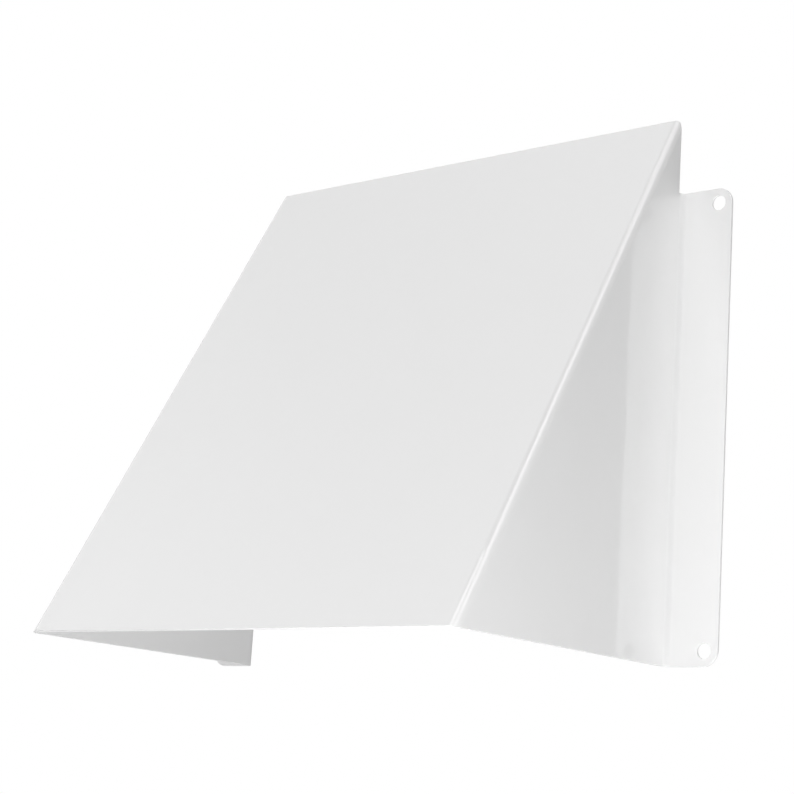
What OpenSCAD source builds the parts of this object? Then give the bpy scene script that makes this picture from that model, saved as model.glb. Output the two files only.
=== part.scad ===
// Wall vent cap: one sheet of metal folded into a sloping hood, open below and behind.
// Millimetres, +Z up. The wall is the plane Y = 0 and the hood stands out of it towards -Y.
// The origin lies on the wall, at the centre of the four screw holes.

/* [Hood] */
// Width over the outer faces of the two side plates
hood_w = 200; // [120:5:400]
// Height of the hood, from its bottom edge to its top edge
hood_h = 200; // [120:5:400]
// Angle between the front plate and the wall
front_slope = 30; // [20:1:45]

/* [Sheet] */
// Thickness of the sheet
sheet_t = 1; // [0.6:0.1:2]
// Inside radius of every fold
fold_r = 2; // [0.5:0.25:3]

/* [Wall flanges] */
// Width of a flange, from the side plate's outer face to its free edge
flange_w = 21; // [18:1:40]
// Distance from the hood's top edge down to the top of a flange
flange_drop = 28; // [10:1:60]
// Radius of a flange's two free corners
corner_r = 6; // [2:0.5:9]

/* [Screw holes] */
// Diameter of a screw hole
screw_d = 5.5; // [3:0.1:7]
// Distance from a hole's centre to the free edge, and to the top or bottom edge of its flange
screw_inset = 5.5; // [4:0.5:9]

/* [Hidden] */

// Fineness of every arc
$fn = 64;

// Outside radius of a fold, and so the room that a fold takes up along each face it joins
fold_outer_r = fold_r + sheet_t;

// Height of a flange, from the hood's bottom edge
flange_h = hood_h - flange_drop;

// The front plate's cut edges are square to its face, so its inner face meets the floor first
// and its outer face reaches the top
edge_drop = sheet_t * sin(front_slope);
edge_run = sheet_t * cos(front_slope);
front_len = (hood_h - edge_drop) / cos(front_slope);

// How far the outer bottom edge of the front plate stands out from the wall
hood_depth = fold_outer_r + edge_run + front_len * sin(front_slope);

// A square block with its two front corners rounded, which the sheet follows inside and out
module rounded_front(width, depth, r) {
    translate([-width / 2, r]) square([width, depth - r]);
    translate([r - width / 2, 0]) square([width - 2 * r, r]);
    for (side = [-1, 1])
        translate([side * (width / 2 - r), r]) circle(r);
}

// The sheet seen along the front folds: the front plate with a side plate folded back at each end
module channel_profile() {
    difference() {
        rounded_front(hood_w, hood_depth, fold_outer_r);
        translate([0, sheet_t])
            rounded_front(hood_w - 2 * sheet_t, hood_depth, fold_r);
    }
}

// Front plate, both front folds and both side plates: the profile carried up the slope,
// then trimmed level below and upright behind
module front_and_sides() {
    intersection() {
        translate([0, -hood_depth, edge_drop])
            rotate([-front_slope, 0, 0])
                linear_extrude(front_len) channel_profile();
        translate([-hood_w / 2, -hood_depth, 0])
            cube([hood_w, hood_depth - fold_outer_r, hood_h]);
    }
}

// A quarter ring of sheet that turns the right side plate outwards into its flange
module wall_fold() {
    translate([hood_w / 2 + fold_r, -fold_outer_r, 0])
        difference() {
            intersection() {
                cylinder(h = flange_h, r = fold_outer_r);
                translate([-fold_outer_r, 0, 0]) cube([fold_outer_r, fold_outer_r, flange_h]);
            }
            cylinder(h = flange_h, r = fold_r);
        }
}

// Outline of the right flange, X across and Y up, from the end of its fold to its free edge
module flange_outline() {
    inner_x = hood_w / 2 + fold_r;
    outer_x = hood_w / 2 + flange_w;
    translate([inner_x, 0]) square([outer_x - corner_r - inner_x, flange_h]);
    translate([inner_x, corner_r]) square([outer_x - inner_x, flange_h - 2 * corner_r]);
    for (z = [corner_r, flange_h - corner_r])
        translate([outer_x - corner_r, z]) circle(corner_r);
}

// The right flange, flat on the wall, with a screw hole near each free corner
module wall_flange() {
    rotate([90, 0, 0])
        difference() {
            linear_extrude(sheet_t) flange_outline();
            for (z = [screw_inset, flange_h - screw_inset])
                translate([hood_w / 2 + flange_w - screw_inset, z, 0])
                    cylinder(h = sheet_t, d = screw_d);
        }
}

// The whole sheet, folded
module hood() {
    color("whitesmoke")
        translate([0, 0, -flange_h / 2]) {
            front_and_sides();
            for (side = [0, 1])
                mirror([side, 0, 0]) {
                    wall_fold();
                    wall_flange();
                }
        }
}

hood();
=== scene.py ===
from types import SimpleNamespace

import bpy
import numpy as np
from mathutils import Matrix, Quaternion, Vector


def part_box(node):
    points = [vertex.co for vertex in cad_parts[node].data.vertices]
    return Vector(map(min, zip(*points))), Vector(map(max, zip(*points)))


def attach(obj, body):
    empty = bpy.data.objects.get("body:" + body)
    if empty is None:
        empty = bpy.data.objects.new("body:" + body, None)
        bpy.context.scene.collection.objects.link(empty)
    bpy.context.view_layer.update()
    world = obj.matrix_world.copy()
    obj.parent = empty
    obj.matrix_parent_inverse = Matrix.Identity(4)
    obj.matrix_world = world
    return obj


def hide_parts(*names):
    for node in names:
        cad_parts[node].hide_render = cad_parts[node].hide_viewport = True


bl_info = {
    "name": "Folded Vent Cap",
    "version": (1, 0, 0),
    "blender": (4, 5, 0),
    "location": "View3D > Sidebar > Vent cap",
    "description": "A wall vent cap folded from one powder-coated sheet, with its studio",
    "category": "Add Mesh",
}

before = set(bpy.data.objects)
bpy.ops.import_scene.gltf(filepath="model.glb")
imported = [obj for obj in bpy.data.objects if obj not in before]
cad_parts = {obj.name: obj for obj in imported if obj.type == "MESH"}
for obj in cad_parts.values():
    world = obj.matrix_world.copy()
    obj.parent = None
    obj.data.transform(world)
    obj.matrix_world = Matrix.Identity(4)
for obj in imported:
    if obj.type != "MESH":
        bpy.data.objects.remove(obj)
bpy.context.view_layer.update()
CAD_LOW, CAD_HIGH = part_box("hood")

MM = 0.001
# Half the width over the outer faces of the two side plates, which the flanges stand out from
HALF_WIDTH = 100 * MM


def linear(hex_colour):
    """An sRGB hex colour as linear RGBA: c / 12.92 in the darkest part, and above it
    ((c + 0.055) / 1.055) to the power of 2.4."""
    srgb = np.array([int(hex_colour[i:i + 2], 16) for i in (0, 2, 4)]) / 255
    rgb = np.where(srgb <= 0.04045, srgb / 12.92, ((srgb + 0.055) / 1.055) ** 2.4)
    return (*rgb.tolist(), 1.0)


WHITE = linear("FFFFFF")


def length(name, description, default):
    """A property in metres that the sidebar shows as a length."""
    return bpy.props.FloatProperty(name=name, description=description, default=default,
                                   min=0.0, precision=5, unit="LENGTH", subtype="DISTANCE")


def colour(name, description, hex_colour):
    """A property that holds a colour."""
    return bpy.props.FloatVectorProperty(name=name, description=description, default=linear(hex_colour),
                                         size=4, min=0.0, max=1.0, subtype="COLOR")


def number(name, description, default, **limits):
    """A property that holds a plain number or, with a unit or subtype, an angle or a share."""
    return bpy.props.FloatProperty(name=name, description=description, default=default, **limits)


class SheetSizes(bpy.types.PropertyGroup):
    """Sizes of the folded sheet. Its heights and its flanges' width follow the frame's box."""
    hood_width: length(
        "Hood width", "Width over the outer faces of the two side plates", 2 * HALF_WIDTH)
    hood_height: length(
        "Hood height", "Height from the bottom edges to the top edge", CAD_HIGH.z - CAD_LOW.z)
    front_slope: number(
        "Front slope", "Angle between the front plate and the wall", np.radians(30.0),
        unit="ROTATION", subtype="ANGLE")
    sheet_thickness: length(
        "Sheet thickness", "Thickness of the sheet with its coat", 1 * MM)
    fold_radius: length(
        "Fold radius", "Inside radius of every fold", 2 * MM)
    flange_width: length(
        "Flange width", "From a side plate's outer face to its flange's free edge", CAD_HIGH.x - HALF_WIDTH)
    flange_height: length(
        "Flange height", "Height of each wall flange", -2 * CAD_LOW.z)
    corner_radius: length(
        "Corner radius", "Radius of a flange's two free corners", 6 * MM)
    hole_diameter: length(
        "Hole diameter", "Diameter of a screw hole", 5.5 * MM)
    hole_inset: length(
        "Hole inset", "From a hole's centre to the flange's free edge and to its nearest end", 5.5 * MM)
    coat_round: length(
        "Coated edge radius", "Radius that the powder coat gives to every cut edge", 0.22 * MM)


class CoatLook(bpy.types.PropertyGroup):
    """Finish of the powder coat."""
    colour: colour("Coat colour", "Colour of the powder coat", "F3F3F3")
    roughness: number(
        "Roughness", "Roughness of the coat between its ripples", 0.03, min=0.0, max=1.0, subtype="FACTOR")
    peel_size: length(
        "Peel size", "Distance from one ripple of the coat to the next", 5 * MM)
    peel_depth: length(
        "Peel depth", "Height of the coat's ripples", 0.03 * MM)
    wave_size: length(
        "Wave size", "Distance from one shallow wave of the sheet to the next", 17 * MM)
    wave_depth: length(
        "Wave depth", "Height of the sheet's shallow waves", 0.1 * MM)


class StudioLook(bpy.types.PropertyGroup):
    """The floor, the light and the camera."""
    floor_colour: colour("Floor colour", "Colour of the plain pale floor", "E4E4E4")
    floor_white: number(
        "Floor white", "Share of plain white in the floor under the cap, as the camera sees it", 0.6,
        min=0.0, max=1.0, subtype="FACTOR")
    floor_fade: length(
        "Floor fade", "How far out the floor has turned to plain white", 2.5)
    floor_drop: length(
        "Floor drop", "How far the floor lies below the sheet's bottom edges", 220 * MM)
    room_light: number("Room light", "Brightness of the light from all round", 0.0, min=0.0)
    mirrored_white: number(
        "Mirrored white", "Share of the white background that the gloss of the coat mirrors", 0.25,
        min=0.0, max=1.0, subtype="FACTOR")
    lens: number("Lens", "Focal length on a 36 mm sensor", 96.3, min=1.0, unit="CAMERA")


# The sheet. Lengths below are millimetres: Z counts from the bottom edges, X from the middle, and
# Y = 0 is the wall. Everything is worked out for the right half, and then mirrored.
# Two numbers go through all of it: "inset" is how far a point lies inside the sheet's cut outline,
# and "depth" is how far it lies under the sheet's outer face.

# Steps of the grids across the front plate, a front fold, a side plate, a wall fold and a flange
PLATE_STEPS = 12
FRONT_FOLD_STEPS = 24
SIDE_STEPS = 13
WALL_FOLD_STEPS = 16
FLANGE_ROWS = 18
# Steps up the side plate above its flange, and over each rounded corner of a cut edge
UPPER_ROWS = 5
ROUND_STEPS = 3
# Steps round the block at a flange's end: below its hole, round its corner, up its free edge,
# across to the fold and down beside the fold
BLOCK_STEPS = (14, 20, 9, 25, 10)
# Width of the narrow strips of mesh that stand beside a fold or an edge
STRIP = 0.6
# Shares of the side plate's depth between which its evenly spaced columns lie
SIDE_SPREAD = (0.05, 0.95)
# Shares of the way out from a hole to its block's outline at which the block's rings lie
RING_SHARES = (0, 0.12, 0.5, 0.88, 1.0)
# Points of two grids that agree to this many decimals of a millimetre are one point
JOIN_DECIMALS = 4


def figures(sizes):
    """The sizes in millimetres, with what follows from them."""
    f = SimpleNamespace(
        half=sizes.hood_width / 2 / MM, top=sizes.hood_height / MM, t=sizes.sheet_thickness / MM,
        r=sizes.fold_radius / MM, flange_w=sizes.flange_width / MM, flange_h=sizes.flange_height / MM,
        corner=sizes.corner_radius / MM, hole_r=sizes.hole_diameter / 2 / MM,
        hole_in=sizes.hole_inset / MM, coat=sizes.coat_round / MM,
        sin=np.sin(sizes.front_slope), cos=np.cos(sizes.front_slope))
    f.big_r = f.r + f.t
    f.drop = f.t * f.sin
    f.length = (f.top - f.drop) / f.cos
    f.reach = f.big_r + f.t * f.cos + f.length * f.sin
    f.edge_x = f.half + f.flange_w
    f.fold_x = f.half + f.r
    f.block = f.hole_in + max(f.hole_in, f.corner)
    return f


def top_of_side(f, inset):
    """Height at which the free edge of the side plate meets the front fold."""
    along = (f.reach - f.big_r - inset - f.big_r * f.cos) / f.sin
    return f.drop + along * f.cos - f.big_r * f.sin


def rays_to_line(centre, start, end, count, axis, place, out):
    """Rays from a centre at equal angles, each as long as it takes to reach the straight line on
    which one coordinate has a fixed place. Gives their ends, and the line's outward direction."""
    angle = np.linspace(start, end, count, endpoint=False)
    ray = np.stack([np.cos(angle), np.sin(angle)], 1)
    ends = centre + ray * ((place - centre[axis]) / ray[:, axis])[:, None]
    return ends, np.tile(np.array(out, float), (count, 1))


def block_outline(f):
    """The outline of a flange's bottom block as seen from its hole: five stretches, anticlockwise
    from the block's corner at the wall fold. Four are rays to a straight line, and the corner is a
    quarter circle. "out" points out of the sheet at each point, and is zero where the flange goes
    on. "starts" counts the points before each stretch."""
    centre = np.array([f.edge_x - f.hole_in, f.hole_in])

    def angle(x, z):
        return np.arctan2(z - centre[1], x - centre[0])

    corner_x = f.edge_x - f.corner
    a_low, a_corner = angle(f.fold_x, 0), angle(corner_x, 0)
    a_right, a_high = angle(f.edge_x, f.corner), angle(f.edge_x, f.block)
    a_left = angle(f.fold_x, f.block)
    below, corner, right, above, beside = BLOCK_STEPS
    turn = np.linspace(-np.pi / 2, 0, corner, endpoint=False)
    away = np.stack([np.cos(turn), np.sin(turn)], 1)
    parts = [
        rays_to_line(centre, a_low, a_corner, below, 1, 0.0, (0, -1)),
        (np.array([corner_x, f.corner]) + f.corner * away, away),
        rays_to_line(centre, a_right, a_high, right, 0, f.edge_x, (1, 0)),
        rays_to_line(centre, a_high, a_left, above, 1, f.block, (0, 0)),
        rays_to_line(centre, a_left, a_low + 2 * np.pi, beside, 0, f.fold_x, (0, 0)),
    ]
    parts[3][1][0] = (1, 0)
    starts = np.cumsum([0] + [len(ends) for ends, _ in parts])
    points, out = (np.concatenate(column) for column in zip(*parts))
    return SimpleNamespace(centre=centre, points=points, out=out, starts=starts)


def levels(f, inset):
    """Heights of the grid's rows, from the bottom edge to the top of the side plate, and the row
    at which a flange ends. The rows beside a hole are where its rays meet the fold."""
    block = block_outline(f)
    low = block.points[block.starts[4]:, 1][::-1][:-1]
    middle = np.linspace(f.block, f.flange_h - f.block, FLANGE_ROWS + 1)
    high = f.flange_h - low[::-1]
    above = np.linspace(f.flange_h, top_of_side(f, inset), UPPER_ROWS + 1)[1:]
    ends = [f.flange_h - inset], [f.flange_h + STRIP]
    z = np.concatenate([[inset], low, middle, high, *ends, above])
    return z, len(low) + len(middle) + len(high) + 1


def channel(f, inset, depth):
    """Front plate, front fold and side plate as one grid. A row is the profile across the slope:
    straight, then a quarter circle of radius big_r - depth about the fold's centre, then straight
    back to the free edge. A column runs up the slope from the level bottom cut to the top cut,
    and the side plate's columns close up to a point where the free edge meets the fold."""
    z, _ = levels(f, inset)
    share_up = ((z - z[0]) / (z[-1] - z[0]))[:, None]
    plate = np.linspace(0, f.half - f.big_r - STRIP, PLATE_STEPS + 1)
    plate = np.append(plate, f.half - f.big_r)
    turn = np.linspace(0, np.pi / 2, FRONT_FOLD_STEPS + 1)[1:]
    x = np.concatenate([plate, f.half - f.big_r + (f.big_r - depth) * np.sin(turn)])
    under = np.concatenate([np.full(len(plate), depth), f.big_r - (f.big_r - depth) * np.cos(turn)])
    low = np.maximum(inset, (inset - f.drop + under * f.sin) / f.cos)
    high = np.minimum(f.length - inset, (f.reach - f.big_r - inset - under * f.cos) / f.sin)
    along = low + share_up * (high - low)
    y = along * f.sin + under * f.cos - f.reach
    height = f.drop + along * f.cos - under * f.sin
    front = np.stack([np.broadcast_to(x, along.shape), y, height], 2)
    near_ends = STRIP / f.reach
    back = np.concatenate([[near_ends], np.linspace(*SIDE_SPREAD, SIDE_STEPS - 3), [1 - near_ends, 1.0]])
    y = front[:, -1:, 1] + back * (-f.big_r - inset - front[:, -1:, 1])
    side = np.stack([np.full(y.shape, f.half - depth), y, np.broadcast_to(z[:, None], y.shape)], 2)
    return np.concatenate([front, side], 1)


def wall_fold(f, inset, depth):
    """The fold into the flange as one grid: a quarter circle of radius r + depth about a centre
    in front of the side plate's back edge, carried upright over the flange's height."""
    z, last = levels(f, inset)
    z = z[:last + 1, None]
    turn = np.linspace(0, np.pi / 2, WALL_FOLD_STEPS + 1)
    x = np.append(f.half - depth, f.fold_x - (f.r + depth) * np.cos(turn))
    y = np.append(-f.big_r - inset, -f.big_r + (f.r + depth) * np.sin(turn))
    shape = (len(z), len(x))
    return np.stack([np.broadcast_to(x, shape), np.broadcast_to(y, shape), np.broadcast_to(z, shape)], 2)


def flange_block(f, inset, depth, upper):
    """The end of a flange round its hole as one grid of rings: straight lines from the hole's
    circle to the block's outline. The upper end is the lower one mirrored."""
    block = block_outline(f)
    edge = block.points - inset * block.out
    ray = block.points - block.centre
    ray /= np.linalg.norm(ray, axis=1)[:, None]
    circle = block.centre + (f.hole_r + inset) * ray
    share_out = np.array(RING_SHARES)[:, None, None]
    ring = circle + share_out * (edge - circle)
    ring = np.concatenate([ring, ring[:, :1]], 1)
    height = f.flange_h - ring[..., 1] if upper else ring[..., 1]
    return np.stack([ring[..., 0], np.full(height.shape, depth - f.t), height], 2)


def flange_middle(f, inset, depth):
    """The plain stretch of a flange between its two blocks, as one grid."""
    block = block_outline(f)
    edge = (block.points - inset * block.out)[block.starts[3]:block.starts[4], 0]
    x = np.append(edge, f.fold_x)[::-1]
    z = np.linspace(f.block, f.flange_h - f.block, FLANGE_ROWS + 1)[:, None]
    shape = (len(z), len(x))
    return np.stack([np.broadcast_to(x, shape), np.full(shape, depth - f.t), np.broadcast_to(z, shape)], 2)


def cut_outline(f, inset, depth):
    """The right half of the sheet's outline as a path: along the bottom, round the flange, and
    up the side plate's free edge to the middle of the top."""
    _, last = levels(f, inset)
    plates = channel(f, inset, depth)
    fold = wall_fold(f, inset, depth)
    block = block_outline(f)
    edge = (block.points - inset * block.out)[:block.starts[3] + 1]
    low = np.stack([edge[:, 0], np.full(len(edge), depth - f.t), edge[:, 1]], 1)
    high = low[::-1] * (1, 1, -1) + (0, 0, f.flange_h)
    free_edge = flange_middle(f, inset, depth)[1:-1, -1]
    top = plates[-1, :-SIDE_STEPS][::-1]
    return np.concatenate([plates[0], fold[0, 1:], low[1:], free_edge, high, fold[-1, ::-1][1:],
                           plates[last + 1:, -1], top[1:]])


def coated_edge(f):
    """Insets and depths across a cut edge, which the coat rounds: a quarter circle at each face
    and a straight stretch between them."""
    turn = np.linspace(0, np.pi / 2, ROUND_STEPS + 1)
    inset = f.coat * (1 - np.sin(turn))
    depth = f.coat * (1 - np.cos(turn))
    return list(zip(np.append(inset, inset[::-1]), np.append(depth, f.t - depth[::-1])))


def grid_faces(shape, start, turned):
    """Four corners of every cell of a grid, counted from start."""
    index = np.arange(shape[0] * shape[1]).reshape(shape[:2]) + start
    cells = np.stack([index[:-1, :-1], index[:-1, 1:], index[1:, 1:], index[1:, :-1]], -1).reshape(-1, 4)
    return cells[:, ::-1] if turned else cells


def sheet_grids(f):
    """Every grid of the sheet's right half, and whether it has to be turned to face outwards:
    both faces of the sheet, its cut outline and the edges of its holes."""
    edge = coated_edge(f)
    grids = []
    for depth, inner in ((0.0, False), (f.t, True)):
        at = (f, f.coat, depth)
        grids += [(channel(*at), inner), (wall_fold(*at), inner), (flange_middle(*at), inner)]
        grids += [(flange_block(*at, False), not inner), (flange_block(*at, True), inner)]
    grids.append((np.stack([cut_outline(f, *at) for at in edge]), True))
    for upper in (False, True):
        grids.append((np.stack([flange_block(f, *at, upper)[0] for at in edge]), upper))
    return grids


def folded_sheet_mesh(name, f):
    """Grids that share their border points, with the left half mirrored from the right, closed
    into one skin: like points become one, and a cell with two like corners becomes a triangle."""
    points, faces, count = [], [], 0
    for mirror in (False, True):
        for grid, turned in sheet_grids(f):
            points.append(grid.reshape(-1, 3) * ((-1, 1, 1) if mirror else (1, 1, 1)))
            faces.append(grid_faces(grid.shape, count, turned != mirror))
            count += grid.shape[0] * grid.shape[1]
    points, faces = np.concatenate(points), np.concatenate(faces)
    rounded = np.round(points, JOIN_DECIMALS) + 0.0
    _, first, same = np.unique(rounded, axis=0, return_index=True, return_inverse=True)
    faces = same.reshape(-1)[faces]
    corners = (faces != np.roll(faces, -1, axis=1)).sum(1)
    narrow = faces[corners == 3]
    triangles = narrow[narrow != np.roll(narrow, 1, axis=1)].reshape(-1, 3)
    quads = faces[corners == 4]
    place = (points[first] - (0, 0, f.flange_h / 2)) * MM
    mesh = bpy.data.meshes.new(name)
    mesh.from_pydata(place.tolist(), [], quads.tolist() + triangles.tolist())
    mesh.validate()
    mesh.shade_smooth()
    mesh.update()
    return mesh


def new_material(name):
    """An empty node material, and its tree."""
    material = bpy.data.materials.new(name)
    material.use_nodes = True
    material.node_tree.nodes.clear()
    return material, material.node_tree


def add(tree, kind, values=None, links=None, **settings):
    """Adds a node with its settings, its input values and the sockets that feed its inputs."""
    node = tree.nodes.new(kind)
    for name, value in settings.items():
        setattr(node, name, value)
    for socket, value in (values or {}).items():
        node.inputs[socket].default_value = value
    for socket, source in (links or {}).items():
        tree.links.new(source, node.inputs[socket])
    return node


# Index of refraction of the coat. Cured polyester has about 1.55, and the coat's clear mirror
# images ask for a little more.
COAT_IOR = 1.7
# Share by which the coat's roughness varies up and down
GLOSS_SPREAD = 0.15


def gloss_powder_coat(look):
    """Gloss polyester powder coat on steel sheet, sprayed dry and baked."""
    # The melted powder flows out to an even white film with a deep gloss, so the sheet mirrors
    # its own flanges. Orange peel, ripples a few millimetres apart, and the sheet's own shallow
    # waves make a mirrored edge waver a little.
    material, tree = new_material("gloss_white_polyester_powder_coat")
    place = add(tree, "ShaderNodeTexCoord").outputs["Object"]
    peel = add(tree, "ShaderNodeTexNoise",
               {"Scale": 1 / look.peel_size, "Detail": 1.0, "Roughness": 0.4}, {"Vector": place})
    wave = add(tree, "ShaderNodeTexNoise", {"Scale": 1 / look.wave_size, "Detail": 0.0}, {"Vector": place})
    ripples = add(tree, "ShaderNodeBump", {"Distance": look.peel_depth}, {"Height": peel.outputs["Fac"]})
    waves = add(tree, "ShaderNodeBump", {"Distance": look.wave_depth},
                {"Height": wave.outputs["Fac"], "Normal": ripples.outputs["Normal"]})
    # Where the film is thicker it lies a little smoother
    gloss = add(tree, "ShaderNodeMapRange",
                {"To Min": look.roughness * (1 - GLOSS_SPREAD),
                 "To Max": look.roughness * (1 + GLOSS_SPREAD)},
                {"Value": wave.outputs["Fac"]})
    coat = add(tree, "ShaderNodeBsdfPrincipled", {"Base Color": look.colour, "IOR": COAT_IOR},
               {"Roughness": gloss.outputs["Result"], "Normal": waves.outputs["Normal"]})
    add(tree, "ShaderNodeOutputMaterial", links={"Surface": coat.outputs["BSDF"]})
    return material


def place_piece(name, mesh, material):
    """Links a mesh as an object at the origin, with its material."""
    piece = bpy.data.objects.new(name, mesh)
    mesh.materials.append(material)
    bpy.context.scene.collection.objects.link(piece)
    return piece


class VENTCAP_OT_folded_sheet(bpy.types.Operator):
    """Builds the whole cap: one sheet with its four folds, coated"""
    bl_idname = "ventcap.folded_sheet"
    bl_label = "Fold the sheet"

    def execute(self, context):
        scene = context.scene
        mesh = folded_sheet_mesh("folded_hood_sheet", figures(scene.vent_cap_sizes))
        piece = place_piece("folded_hood_sheet", mesh, gloss_powder_coat(scene.vent_cap_coat))
        # Normals that follow the larger faces keep the plates flat up to their rounded edges
        piece.modifiers.new("flat_plates", "WEIGHTED_NORMAL").mode = "FACE_AREA"
        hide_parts("hood")
        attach(piece, "root")
        return {"FINISHED"}


# The stage. Its lengths are the frame's metres.

# Square softboxes above the cap, which face its middle: name, place and power in watts
SOFTBOX_WIDTH = 0.7
CAP_MIDDLE = Vector((0, -0.05, 0))
SOFTBOXES = (
    ("front_softbox", (0.0, -1.0, 0.84), 3.95),
    ("right_front_softbox", (0.86, -0.50, 0.84), 3.1),
    ("top_softbox", (0.42, -0.24, 1.2), 2.65),
)

# Square light panels that face up, lifted a little off the floor: name, X, Y and power in watts
PANEL_WIDTH = 0.35
PANEL_LIFT = 0.011
FLOOR_PANELS = (
    ("front_floor_panel", 0.0, -0.47, 0.55),
    ("right_front_floor_panel", 0.30, -0.35, 1.45),
    ("right_floor_panel", 0.42, -0.05, 0.7),
)

# Soft glows of the room's light: turn to the right and height in degrees, strength, and how
# tightly each keeps to its heading
GLOWS = (
    (-90, 40, 0.8, 3),
    (-135, 40, 0.75, 3),
    (-75, 32, 1.45, 50),
)

# The camera: where it stands, its turn to the right, its tilt and its roll in degrees, the small
# shift of its lens that frames the cap, and its sensor's width in millimetres
CAMERA_PLACE = (0.50948, -0.63205, -0.15045)
CAMERA_TURN, CAMERA_TILT, CAMERA_ROLL = 42.06, -12.31, 4.10
LENS_SHIFT = (0.0664, -0.0349)
SENSOR_WIDTH = 36.0

# The floor reaches this far out on each side, and its fade to white starts this far from the origin
FLOOR_REACH = 4.0
FADE_START = 0.3


def heading(turn, height):
    """The direction at a turn to the right of the front and a height above the level, in degrees:
    (sin turn cos height, -cos turn cos height, sin height)."""
    turn, height = np.radians((turn, height))
    return float(np.sin(turn) * np.cos(height)), float(-np.cos(turn) * np.cos(height)), float(np.sin(height))


class VENTCAP_OT_stage(bpy.types.Operator):
    """Builds the floor, the softboxes, the surrounding light and the camera"""
    bl_idname = "ventcap.stage"
    bl_label = "Set the stage"

    def execute(self, context):
        scene, look = context.scene, context.scene.vent_cap_studio
        scene.view_settings.view_transform = "Standard"
        floor_z = CAD_LOW.z - look.floor_drop
        self.floor(look, floor_z)
        self.room(scene, look)
        for name, place, power in SOFTBOXES:
            self.lamp(scene, name, place, CAP_MIDDLE - Vector(place), SOFTBOX_WIDTH, power)
        for name, x, y, power in FLOOR_PANELS:
            self.lamp(scene, name, (x, y, floor_z + PANEL_LIFT), Vector((0, 0, 1)), PANEL_WIDTH, power)
        self.camera(scene, look)
        return {"FINISHED"}

    def floor(self, look, height):
        """A plain pale sheet of backdrop paper below the cap."""
        # As the camera sees it, the lit paper turns to plain white away from the cap
        material, tree = new_material("pale_backdrop_paper")
        paper = add(tree, "ShaderNodeBsdfPrincipled",
                    {"Base Color": look.floor_colour, "Roughness": 0.9, "Specular IOR Level": 0.2})
        white = add(tree, "ShaderNodeEmission", {"Color": WHITE, "Strength": 1.0})
        place = add(tree, "ShaderNodeTexCoord").outputs["Object"]
        away = add(tree, "ShaderNodeVectorMath", links={0: place}, operation="LENGTH")
        fade = add(tree, "ShaderNodeMapRange",
                   {"From Min": FADE_START, "From Max": look.floor_fade,
                    "To Min": look.floor_white, "To Max": 1.0},
                   {"Value": away.outputs["Value"]}, interpolation_type="SMOOTHSTEP")
        share = add(tree, "ShaderNodeMath", links={
            0: self.white_share(tree, look), 1: fade.outputs["Result"]}, operation="MULTIPLY")
        seen = add(tree, "ShaderNodeMixShader", links={
            0: share.outputs["Value"], 1: paper.outputs["BSDF"], 2: white.outputs["Emission"]})
        add(tree, "ShaderNodeOutputMaterial", links={"Surface": seen.outputs["Shader"]})
        signs = ((-1, -1), (1, -1), (1, 1), (-1, 1))
        mesh = bpy.data.meshes.new("floor")
        mesh.from_pydata([(x * FLOOR_REACH, y * FLOOR_REACH, height) for x, y in signs], [], [(0, 1, 2, 3)])
        place_piece("floor", mesh, material)

    def white_share(self, tree, look):
        """How much of the background is plain white: all of it to the camera and through glass,
        and a small share of it in gloss, where more would lose the coat's edges on white."""
        path = add(tree, "ShaderNodeLightPath")
        seen = add(tree, "ShaderNodeMath", links={
            0: path.outputs["Is Camera Ray"], 1: path.outputs["Is Transmission Ray"]}, operation="MAXIMUM")
        share = add(tree, "ShaderNodeMath", {1: look.mirrored_white},
                    {0: path.outputs["Is Glossy Ray"], 2: seen.outputs["Value"]}, operation="MULTIPLY_ADD")
        return share.outputs["Value"]

    def room(self, scene, look):
        """The room round the cap. As light it is a few soft glows, each a power of the cosine between
        a ray and the glow's heading, and the camera sees it as plain white."""
        world = bpy.data.worlds.new("studio_room")
        scene.world = world
        world.use_nodes = True
        tree = world.node_tree
        tree.nodes.clear()
        way = add(tree, "ShaderNodeTexCoord").outputs["Generated"]
        strength = add(tree, "ShaderNodeValue").outputs["Value"]
        strength.default_value = look.room_light
        for turn, height, power, sharpness in GLOWS:
            near = add(tree, "ShaderNodeVectorMath", {1: heading(turn, height)}, {0: way},
                       operation="DOT_PRODUCT")
            side = add(tree, "ShaderNodeMath", {1: 0.0}, {0: near.outputs["Value"]}, operation="MAXIMUM")
            lobe = add(tree, "ShaderNodeMath", {1: sharpness}, {0: side.outputs["Value"]}, operation="POWER")
            strength = add(tree, "ShaderNodeMath", {1: power}, {0: lobe.outputs["Value"], 2: strength},
                           operation="MULTIPLY_ADD").outputs["Value"]
        seen = add(tree, "ShaderNodeBackground", {"Color": WHITE, "Strength": 1.0})
        lit = add(tree, "ShaderNodeBackground", {"Color": WHITE}, {"Strength": strength})
        mix = add(tree, "ShaderNodeMixShader", links={
            0: self.white_share(tree, look), 1: lit.outputs["Background"], 2: seen.outputs["Background"]})
        add(tree, "ShaderNodeOutputWorld", links={"Surface": mix.outputs["Shader"]})

    def lamp(self, scene, name, place, facing, width, power):
        """A square lamp that shines along the direction it faces."""
        data = bpy.data.lights.new(name, "AREA")
        data.shape = "SQUARE"
        data.size, data.energy = width, power
        lamp = bpy.data.objects.new(name, data)
        lamp.location = place
        lamp.rotation_mode = "QUATERNION"
        lamp.rotation_quaternion = facing.to_track_quat("-Z", "Y")
        lamp.visible_camera = False
        scene.collection.objects.link(lamp)

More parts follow.
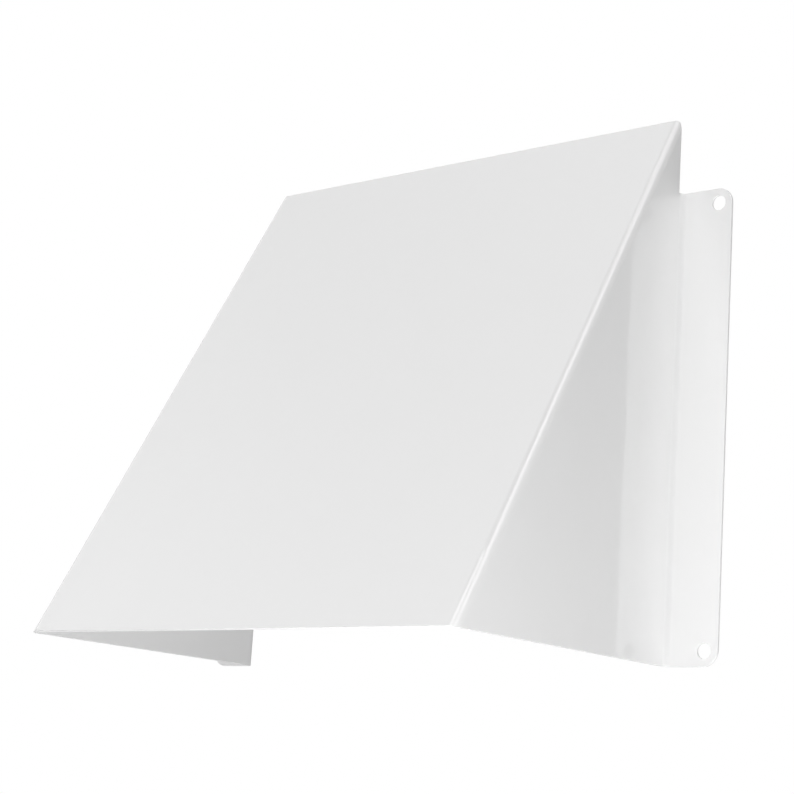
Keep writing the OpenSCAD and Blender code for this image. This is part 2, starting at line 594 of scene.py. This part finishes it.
    def camera(self, scene, look):
        """The photograph's view: from the right, a little below the cap, and slightly rolled."""
        data = bpy.data.cameras.new("camera")
        data.lens, data.sensor_width = look.lens, SENSOR_WIDTH
        data.shift_x, data.shift_y = LENS_SHIFT
        back = Vector(heading(CAMERA_TURN, CAMERA_TILT))
        roll = Quaternion((0, 0, 1), np.radians(CAMERA_ROLL))
        camera = bpy.data.objects.new("camera", data)
        camera.location = CAMERA_PLACE
        camera.rotation_mode = "QUATERNION"
        camera.rotation_quaternion = (-back).to_track_quat("-Z", "Y") @ roll
        scene.collection.objects.link(camera)
        scene.camera = camera


class VENTCAP_PT_sidebar(bpy.types.Panel):
    """The sizes, the finish and the studio, each with the button that builds from them"""
    bl_idname = "VENTCAP_PT_sidebar"
    bl_label = "Vent cap"
    bl_space_type = "VIEW_3D"
    bl_region_type = "UI"
    bl_category = "Vent cap"

    def draw(self, context):
        scene = context.scene
        self.group(scene.vent_cap_sizes, SheetSizes)
        self.group(scene.vent_cap_coat, CoatLook)
        self.layout.operator(VENTCAP_OT_folded_sheet.bl_idname)
        self.group(scene.vent_cap_studio, StudioLook)
        self.layout.operator(VENTCAP_OT_stage.bl_idname)

    def group(self, values, kind):
        """A boxed column of one group's properties."""
        column = self.layout.box().column()
        for name in kind.__annotations__:
            column.prop(values, name)


CLASSES = (SheetSizes, CoatLook, StudioLook, VENTCAP_OT_folded_sheet, VENTCAP_OT_stage, VENTCAP_PT_sidebar)


def register():
    for cls in CLASSES:
        bpy.utils.register_class(cls)
    bpy.types.Scene.vent_cap_sizes = bpy.props.PointerProperty(type=SheetSizes)
    bpy.types.Scene.vent_cap_coat = bpy.props.PointerProperty(type=CoatLook)
    bpy.types.Scene.vent_cap_studio = bpy.props.PointerProperty(type=StudioLook)


def unregister():
    del bpy.types.Scene.vent_cap_studio
    del bpy.types.Scene.vent_cap_coat
    del bpy.types.Scene.vent_cap_sizes
    for cls in reversed(CLASSES):
        bpy.utils.unregister_class(cls)


def main():
    register()
    bpy.ops.ventcap.folded_sheet()
    bpy.ops.ventcap.stage()


if __name__ == "__main__":
    main()
